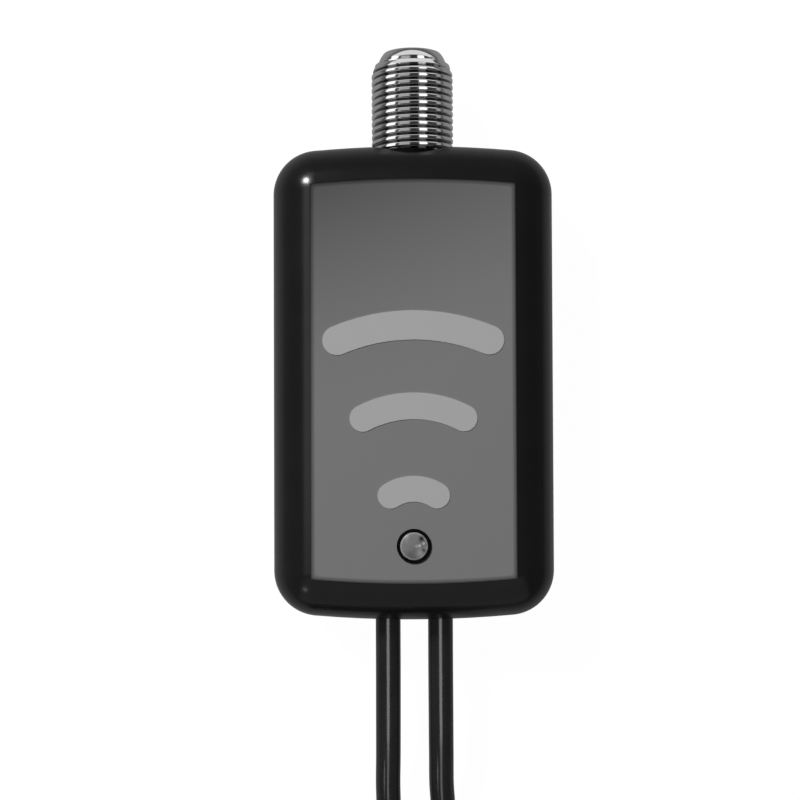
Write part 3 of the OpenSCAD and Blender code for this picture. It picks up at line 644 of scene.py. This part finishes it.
def make_lead_frame():
    """The two legs: one with the cup that holds the chip, one with the bond wire's post."""
    verts, faces = [], []

    def add(points, shape):
        start = len(verts)
        verts.extend(LAMP_AT + Vector(p) for p in points)
        faces.extend(tuple(start + i for i in face) for face in shape)

    for block in LEG_BLOCKS:
        add(box_points(*block), BLOCK_FACES)
    cup = []
    for r, z in CUP_RINGS:
        for k in range(CUP_SIDES):
            a = 2 * math.pi * k / CUP_SIDES
            cup.append((CUP_X + r * math.cos(a), r * math.sin(a), z))
    floor = end_caps(len(CUP_RINGS), CUP_SIDES)[1]
    add(cup, grid_faces(len(CUP_RINGS), CUP_SIDES) + [floor])
    add(box_points((CUP_X, 0, CUP_RINGS[-1][1]), CHIP_SIZE), BLOCK_FACES)
    return [v * MM for v in verts], faces


tinned = LOOKS["tinned_steel"]
piece("lead_frame", *make_lead_frame(), tinned, "tinned_steel", ["led_legs"], crease=30)

# ---------------------------------------------------------------- ties
# A coil lies this far above the floor, on its tie. All sizes are in mm.
COIL_Z = 0.5
STRAP_WIDTH, STRAP_T, STRAP_STEP = 3.9, 0.44, 0.35
# Room beside the cords, the gap between the tape's layers, and the points over which it climbs.
STRAP_ROOM, LAYER_GAP, CLIMB = 0.4, 0.04, 7


def rounded_path(w, h, r):
    """Points and outward normals round a rectangle with round corners, from its top's middle."""
    out = []
    side, rise = w / 2 - r, h / 2 - r
    corners = [(side, rise, 90), (side, -rise, 0), (-side, -rise, -90), (-side, rise, -180)]
    top = Vector((0, h / 2))
    last = top
    for x, y, start in corners:
        for k in range(9):
            a = math.radians(start - 90 * k / 8)
            normal = Vector((math.cos(a), math.sin(a)))
            point = Vector((x + r * math.cos(a), y + r * math.sin(a)))
            if k == 0:
                out += between(last, point, normal)
            out.append((point, normal))
            last = point
    return out + between(last, top, Vector((0, 1)))


def between(start, end, normal):
    """Points on the way from start to end, with a normal."""
    count = int((end - start).length / STRAP_STEP)
    return [(start + (end - start) * (m + 0.5) / count, normal) for m in range(count)]


def make_strap(centre, radius, across, up, angle):
    """Hook and loop tape round a coil: once round, and then over itself with a free end."""
    once = rounded_path(
        across * CORD_D + STRAP_ROOM + STRAP_T, up * CORD_D + STRAP_T, CORD_R + STRAP_T / 2
    )
    overlap = max(8, int(len(once) * 0.3))
    rows = []
    for i in range(len(once) + overlap):
        point, normal = once[i % len(once)]
        over = min(1.0, max(0.0, (i - len(once) + CLIMB) / CLIMB))
        rows.append((point + normal * (STRAP_T + LAYER_GAP) * over, normal))
    edge, half = STRAP_T / 2, STRAP_WIDTH / 2
    section = [(-half, 0), (-half + 0.06, edge * 0.8), (-half + 0.2, edge)]
    section += [(STRAP_WIDTH * k / 8, edge) for k in range(-3, 4)]
    section += [(-x, z) for x, z in reversed(section[:3])]
    section += [(x, -z) for x, z in reversed(section[1:-1])]
    turn = Matrix.Rotation(math.radians(angle), 4, "Z")
    middle = COIL_Z + up * CORD_D / 2
    verts = []
    for point, normal in rows:
        for side, lift in section:
            place = turn @ Vector((radius + point.x + normal.x * lift, side, 0))
            z = middle + point.y + normal.y * lift
            verts.append(((centre[0] + place.x) * MM, (centre[1] + place.y) * MM, z * MM))
    return verts, grid_faces(len(rows), len(section)) + end_caps(len(rows), len(section))


# Each strap: the coil, its middle radius, cords across and up, and where round it in degrees.
for name, tie, coil in (
    ("coax_strap", "coax_tie", (COAX_COIL_AT, 14.5, 2, 2, 225)),
    ("usb_strap", "usb_tie", (USB_COIL_AT, 15.5, 3, 3, 330)),
):
    piece(name, *make_strap(*coil), LOOKS["tie_fabric"], "tie_fabric", [tie])

# ---------------------------------------------------------------- plugs
# The boot's gap round the cord, how deep its grooves and how round its ribs are, and the length
# without ribs at its front, with a collar and without.
BOOT_GAP, RIB_DEPTH, RIB_ROUND = 0.02, 0.42, 0.12
COLLAR, NO_COLLAR = 1.6, 0.4


def on_plug(boot):
    """Puts (x, z, along) in the frame, in metres, for the plug of a boot. The plugs point away
    from the housing, along -Y, and along starts at the boot's back end."""
    _, middle, high = box_mm(boot)
    return lambda x, z, along: (
        (middle[0] + x) * MM, (high[1] - along) * MM, (middle[2] + z) * MM
    )


def ribbed_boot(back_r, front_r, length, ribs, collar=None):
    """Closed profile of a strain relief: ribs that widen towards the plug, and a collar."""
    bore = CORD_R + BOOT_GAP
    profile = [(bore, 0.0), (back_r - 0.2, 0.0), (back_r, 0.15)]
    ribbed = length - (COLLAR if collar else NO_COLLAR)
    for i in range(ribs):
        a, b = (i + 0.45) / ribs * ribbed, (i + 0.98) / ribs * ribbed
        r0, r1 = (back_r + (front_r - back_r) * t / ribbed for t in (a, b))
        profile += [
            (r0, a - RIB_ROUND), (r0 - 0.1, a), (r0 - RIB_DEPTH, a + RIB_ROUND),
            (r0 - RIB_DEPTH, b - 0.28), (r1 - 0.1, b - RIB_ROUND), (r1, b),
        ]
    if collar:
        profile += [(front_r, length - 1.5), (collar - 0.2, length - 1.5), (collar, length - 1.3)]
    profile.append((collar or front_r, length))
    return profile + [(bore, length)]


# Each boot's sizes: back radius, front radius, length, ribs, and the collar's radius.
for name, boot, sizes in (
    ("coax_strain_relief", "coax_boot", (2.1, 2.9, 8, 4, 3.3)),
    ("usb_strain_relief", "usb_boot", (2.1, 2.7, 9, 5)),
):
    shape = lathe(ribbed_boot(*sizes), on_plug(boot))
    piece(name, *shape, LOOKS["boot_rubber"], "boot_rubber", [boot], crease=50)

# The USB plug's overmould, in mm. Its stations: (along, width, height, both as shares; corner).
GRIP_WIDTH, GRIP_HEIGHT, GRIP_FROM, GRIP_SIDES = 15.6, 7.6, 9, 96
GRIP_STATIONS = [
    (0, 0.62, 0.72, 1.9), (0.15, 0.66, 0.78, 2.1), (0.6, 0.7, 0.82, 2.3), (1.6, 0.72, 0.84, 2.4),
    (2.3, 0.76, 0.86, 2.4), (2.9, 0.85, 0.92, 2.3), (3.5, 0.95, 0.975, 2.2), (4.3, 1.0, 1.0, 2.1),
    *((4.9 + 0.25 * k, 1.0, 1.0, 2.1) for k in range(60)),
    (20.6, 1.0, 1.0, 2.1), (21.3, 0.985, 0.97, 2.0), (21.75, 0.955, 0.93, 1.9),
    (22, 0.91, 0.86, 1.7),
]
# Finger grooves: from and to, their pitch, depth, half length and how far their ends slope.
GROOVE_FROM, GROOVE_TO, GROOVE_PITCH = 7.5, 16.5, 1.8
GROOVE_DEPTH, GROOVE_HALF, GROOVE_END = 0.22, 4.6, 0.5
# A quarter of the section: the share of its angle for the side, and the share left for the top.
SIDE_SHARE, TOP_SHARE = 0.3, 0.3


def make_grip():
    """A narrow shoulder that swells into a soft block with finger grooves."""
    verts = []
    put = on_plug("usb_boot")
    for along, across, tall, corner in GRIP_STATIONS:
        w, h = GRIP_WIDTH * across / 2, GRIP_HEIGHT * tall / 2
        groove = 0.0
        if GROOVE_FROM < along < GROOVE_TO:
            wave_at = math.sin(2 * math.pi * (along - GROOVE_FROM) / GROOVE_PITCH)
            groove = GROOVE_DEPTH * max(0.0, wave_at) ** 2
        r = min(corner, h - 0.05)
        for k in range(GRIP_SIDES):
            a = 2 * math.pi * k / GRIP_SIDES
            # Each quarter of the section is a side, a round corner and half the top or bottom.
            t = math.atan2(abs(math.sin(a)), abs(math.cos(a))) / (math.pi / 2)
            flat_x, flat_z = w - r, h - r
            if t < SIDE_SHARE:
                x, z = w, flat_z * t / SIDE_SHARE
            elif t < 1 - TOP_SHARE:
                c = (t - SIDE_SHARE) / (1 - SIDE_SHARE - TOP_SHARE) * math.pi / 2
                x, z = flat_x + r * math.cos(c), flat_z + r * math.sin(c)
            else:
                x, z = flat_x * (1 - t) / TOP_SHARE, h
                if x < GROOVE_HALF:
                    z -= groove * min(1.0, (GROOVE_HALF - x) / GROOVE_END)
            x, z = x if math.cos(a) >= 0 else -x, z if math.sin(a) >= 0 else -z
            verts.append(put(x, z, GRIP_FROM + along))
    rows = len(GRIP_STATIONS)
    return verts, grid_faces(rows, GRIP_SIDES) + end_caps(rows, GRIP_SIDES)


grip = make_grip()
piece("usb_overmould", *grip, LOOKS["boot_rubber"], "boot_rubber", ["usb_grip"], crease=50)

# ---------------------------------------------------------------- light and stage
# How far the floor reaches each way, and how far below it the plane lies that lights the object.
FLOOR_HALF, BOUNCE_DOWN = 3, 0.0002
FLOOR_ROUGH, FLOOR_SPECULAR = 0.9, 0.1
# The floor as seen, and as felt by the object: (its grey, its glow). The second one's glow fades
# out to BOUNCE_REACH metres from the object.
FLOOR_SEEN, FLOOR_FELT = (0.08, 0.985), (0.2, 0.2)
BOUNCE_REACH = 0.14
# It is whole within NEAR_SHARE of that, and falls to FAR_GLOW of itself.
NEAR_SHARE, FAR_GLOW = 0.15, 0.1
# The sky's grey, from straight down at 0 to straight up at 1.
SKY = [(0, 0.12), (0.5, 0.12), (0.54, 0.11), (0.58, 0.09), (0.66, 0.07), (0.8, 0.05), (1, 0.04)]
SKY_STRENGTH = 0.8
# Round lights: (the way towards it, its size, its power).
KEY = (-0.46, 0.526, 0.715), 0.2, 4.95
LOW = (-0.5, -0.68, 0.54), 0.13, 0.14
ROUND_TARGET, ROUND_DISTANCE = Vector((0, -0.005, 0.0075)), 1.0
# Strip lights: (name, from, to, in degrees from straight up, radiance, centre_y, length, low, the
# axis that it is parallel to). Those of the socket make the bright lines along it and the glint
# on its nose, those of the cords make the line along each lead, and those of the front cover
# make the pale band on its upper left edge and the faint light on the end with the leads.
SOCKET_STRIPS = [
    ("strip_0", -78, -49, 1.3, 0.027, 0.36, 0.06, "Y"),
    ("strip_1", -39, -7, 0.4, 0.027, 0.36, 0.06, "Y"),
    ("strip_2", 20, 42, 1.6, 0.027, 0.36, 0.06, "Y"),
    ("strip_3", 72, 88, 0.3, 0.027, 0.36, 0.06, "Y"),
    ("nose_strip", -82, -42, 0.75, 0.033, 1.3, 0, "X"),
]
CORD_STRIPS = [
    ("cord_strip", -13, 11, 4.0, -0.048, 0.4, -0.055, "Y"),
    ("cord_strip_low", -12, 9, 2.2, -0.045, 0.6, -0.55, "Y"),
]
COVER_STRIPS = [
    ("edge_strip", -37, -13, 0.62, 0.24, 0.6, 0, "Y"),
    ("end_strip", 15, 92, 0.16, -0.03, 0.7, 0, "X"),
]
STRIP_DISTANCE = 0.4


def stage_plane(name, z, material):
    mesh = bpy.data.meshes.new(name)
    corners = [(x * FLOOR_HALF, y * FLOOR_HALF, z) for x, y in ((-1, -1), (1, -1), (1, 1), (-1, 1))]
    mesh.from_pydata(corners, [], [(0, 1, 2, 3)])
    mesh.materials.append(material)
    made = new_object(name, mesh)
    return made


def plain_floor(name, grey, glow, reach=None):
    """A pale floor that glows by itself, out to reach from the object when that is given."""
    material = bpy.data.materials.new(name)
    material.use_nodes = True
    tree = material.node_tree
    shader = tree.nodes["Principled BSDF"]
    shader.inputs["Base Color"].default_value = (grey, grey, grey, 1)
    shader.inputs["Roughness"].default_value = FLOOR_ROUGH
    shader.inputs["Specular IOR Level"].default_value = FLOOR_SPECULAR
    shader.inputs["Emission Color"].default_value = (1, 1, 1, 1)
    shader.inputs["Emission Strength"].default_value = glow
    if reach:
        far = vector_node(tree, "LENGTH", node(tree, "TexCoord").outputs["Object"])
        share = math_node(tree, "DIVIDE", far, reach)
        near = ramp(tree, share, [(NEAR_SHARE, glow), (1, FAR_GLOW * glow)])
        tree.links.new(near, shader.inputs["Emission Strength"])
    return material


def round_light(name, direction, size, power):
    """A round soft light that faces the housing."""
    data = bpy.data.lights.new(name, "AREA")
    data.shape, data.size, data.energy = "DISK", size, power
    made = new_object(name, data)
    away = Vector(direction).normalized()
    made.location = ROUND_TARGET + away * ROUND_DISTANCE
    made.rotation_mode = "QUATERNION"
    made.rotation_quaternion = away.to_track_quat("Z", "Y")
    return made


def light_only(light, objects, state="INCLUDE"):
    """Links a light to some objects, or keeps it off them."""
    group = bpy.data.collections.new(light.name + "_sees")
    for made in objects:
        group.objects.link(made)
    light.light_linking.receiver_collection = group
    for member in group.collection_objects:
        member.light_linking.link_state = state


def strip_light(objects, name, start, end, radiance, centre_y, length, low, along):
    """A flat light, length long and parallel to an axis, that only some objects see. It spans the
    angles from start to end, in degrees from straight up, as seen from centre_y. Its own middle
    is low metres further along Y."""
    middle, half = math.radians((start + end) / 2), math.radians((end - start) / 2)
    data = bpy.data.lights.new(name, "AREA")
    across = 2 * STRIP_DISTANCE * math.tan(half)
    data.shape = "RECTANGLE"
    data.size, data.size_y = (across, length) if along == "Y" else (length, across)
    data.energy = radiance * math.pi * data.size * data.size_y
    made = new_object(name, data)
    made.matrix_world = (
        Matrix.Translation((0, centre_y, MID_Z)) @ Matrix.Rotation(middle, 4, along)
        @ Matrix.Translation((0, low, STRIP_DISTANCE))
    )
    light_only(made, objects)


def make_floor():
    """The floor that the camera sees, and one just below that only lights the object."""
    seen = stage_plane("floor", 0, plain_floor("floor_seen", *FLOOR_SEEN))
    seen.visible_glossy = seen.visible_diffuse = False
    seen.visible_transmission = seen.visible_shadow = False
    bounce = plain_floor("floor_bounce", *FLOOR_FELT, BOUNCE_REACH)
    stage_plane("floor_bounce", -BOUNCE_DOWN, bounce).visible_camera = False


def make_world():
    """A dim sky for the object, and plain white for the camera."""
    world = bpy.data.worlds.new("studio")
    world.use_nodes = True
    bpy.context.scene.world = world
    tree = world.node_tree
    tree.nodes.clear()
    place = node(tree, "TexCoord").outputs["Generated"]
    split = node(tree, "SeparateXYZ", None, Vector=place)
    upward = node(tree, "MapRange", None, Value=split.outputs[2], From_Min=-1.0, From_Max=1.0)
    sky = ramp(tree, upward.outputs[0], SKY, "LINEAR")
    light = node(tree, "Background", None, Color=sky, Strength=SKY_STRENGTH)
    shown = node(tree, "Background", None, Color=(1, 1, 1, 1), Strength=1.0)
    mixed = node(tree, "MixShader", None, Fac=node(tree, "LightPath").outputs["Is Camera Ray"])
    tree.links.new(light.outputs[0], mixed.inputs[1])
    tree.links.new(shown.outputs[0], mixed.inputs[2])
    out = tree.nodes.new("ShaderNodeOutputWorld")
    tree.links.new(mixed.outputs[0], out.inputs["Surface"])


def make_lights():
    light_only(round_light("key", *KEY), [socket], "EXCLUDE")
    round_light("low", *LOW)
    for objects, strips in (
        ([socket], SOCKET_STRIPS),
        ([coax_cord, usb_cord], CORD_STRIPS),
        ([frame["nodes"]["front_cover"]], COVER_STRIPS),
    ):
        for strip in strips:
            strip_light(objects, *strip)


make_floor()
make_world()
make_lights()
bpy.context.scene.view_settings.view_transform = "Standard"
